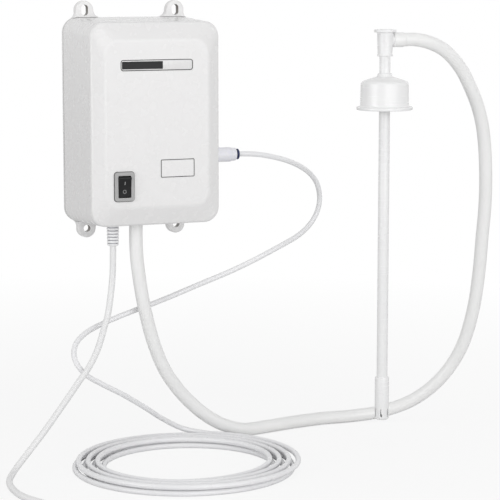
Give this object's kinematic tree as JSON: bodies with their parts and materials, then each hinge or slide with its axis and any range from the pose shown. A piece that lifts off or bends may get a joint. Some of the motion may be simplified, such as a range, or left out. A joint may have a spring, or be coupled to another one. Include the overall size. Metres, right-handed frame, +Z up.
{
  "type": "bottled water pump",
  "caption": "Wall-mounted electric pump box that draws water through a capped suction wand and hose and feeds it to a thin discharge tube.",
  "frame": {"origin": "middle of the four wall holes, on the wall", "axes": "+X to the right seen from the room, +Y into the wall, +Z up"},
  "size_m": [0.6408, 0.4839, 0.536],
  "materials": {
    "case_white": "glossy moulded ABS",
    "gasket_grey": "matte foam",
    "screw_steel": "zinc plated",
    "switch_grey": "satin",
    "rocker_black": "satin",
    "terminal_brass": "tinned",
    "fitting_pale": "glossy",
    "collet_navy": "satin",
    "seal_black": "matte",
    "relief_white": "soft PVC",
    "pump_dark": "glass-filled nylon",
    "pump_natural": "natural acetal",
    "motor_steel": "zinc plated",
    "magnet_dark": "sintered ferrite",
    "bronze": "sintered bronze",
    "copper": "enamelled wire",
    "board_green": "solder resist",
    "part_black": "satin",
    "wire_red": "PVC",
    "hose_white": "satin silicone",
    "wand_white": "glossy polypropylene",
    "tube_milky": "translucent polyethylene",
    "lead_white": "satin PVC"
  },
  "bodies": {
    "case": {"back_plate": "case_white", "front_cover": "case_white", "case_gasket": "gasket_grey", "cover_screws": "screw_steel", "switch_frame": "switch_grey", "switch_terminals": "terminal_brass", "outlet_fitting": "fitting_pale", "outlet_oring": "seal_black", "outlet_elbow": "fitting_pale", "inner_outlet_hose": "hose_white", "strain_relief": "relief_white", "pump_head": "pump_dark", "valve_plate": "pump_dark", "rubber_valves": "seal_black", "diaphragm": "seal_black", "cam_housing": "pump_dark", "pump_screws": "screw_steel", "pressure_switch_body": "pump_dark", "pressure_spring": "screw_steel", "microswitch": "part_black", "motor_can": "motor_steel", "motor_magnets": "magnet_dark", "motor_end_cap": "part_black", "motor_brushes": "copper", "motor_bearings": "bronze", "pump_bracket": "motor_steel", "rubber_feet": "seal_black", "motor_straps": "motor_steel", "transformer_bracket": "motor_steel", "transformer_core": "magnet_dark", "transformer_coil": "copper", "circuit_board": "board_green", "board_parts": "part_black", "inner_wires": "wire_red", "hose_ends": "hose_white", "hose_clamp": "screw_steel", "suction_hose": "hose_white", "wand_tee": "wand_white", "wand_plug": "wand_white", "dip_tube": "wand_white", "foot_valve": "wand_white", "outlet_tube": "tube_milky", "outlet_tube_coil": "tube_milky", "power_lead": "lead_white", "power_lead_coil": "lead_white", "lead_tie": "part_black", "power_plug": "lead_white"},
    "rotor": {"motor_shaft": "motor_steel", "rotor_core": "magnet_dark", "rotor_windings": "copper", "commutator": "copper", "cam": "motor_steel"},
    "wobbler": {"wobble_plate": "pump_natural", "wobble_bearing": "motor_steel"},
    "rocker": {"switch_rocker": "rocker_black"},
    "collet": {"outlet_collet": "collet_navy"},
    "plunger": {"pressure_plunger": "pump_natural"},
    "cap": {"bottle_cap": "wand_white", "cap_seal": "gasket_grey"},
    "poppet": {"foot_poppet": "pump_natural"}
  },
  "joints": [
    {"name": "rocker_tilt", "type": "hinge", "parent": "case", "child": "rocker", "pos_m": [-0.042, -0.102, -0.071], "axis": [-1, 0, 0], "range_deg": [0, 20]},
    {"name": "rotor_spin", "type": "hinge", "parent": "case", "child": "rotor", "pos_m": [0.006, -0.058, 0], "axis": [0, 0, 1], "continuous": true, "deforming": ["diaphragm"]},
    {"name": "wobble", "type": "hinge", "parent": "rotor", "child": "wobbler", "pos_m": [0.006, -0.058, -0.066], "axis": [0.0698, 0, 0.9976], "continuous": true},
    {"name": "collet_press", "type": "slide", "parent": "case", "child": "collet", "axis": [-1, 0, 0], "range_m": [0, 0.0015]},
    {"name": "plunger_slide", "type": "slide", "parent": "case", "child": "plunger", "axis": [-1, 0, 0], "range_m": [0, 0.001], "stiffness_N_per_m": 300, "springref_m": -0.003, "deforming": ["pressure_spring"]},
    {"name": "cap_slide", "type": "slide", "parent": "case", "child": "cap", "axis": [0, 0, 1], "range_m": [-0.34, 0.019]},
    {"name": "poppet_lift", "type": "slide", "parent": "case", "child": "poppet", "axis": [0, 0, 1], "range_m": [0, 0.003]}
  ],
  "couplings": [
    {"joint": "wobble", "follows": "rotor_spin", "ratio": -1}
  ]
}
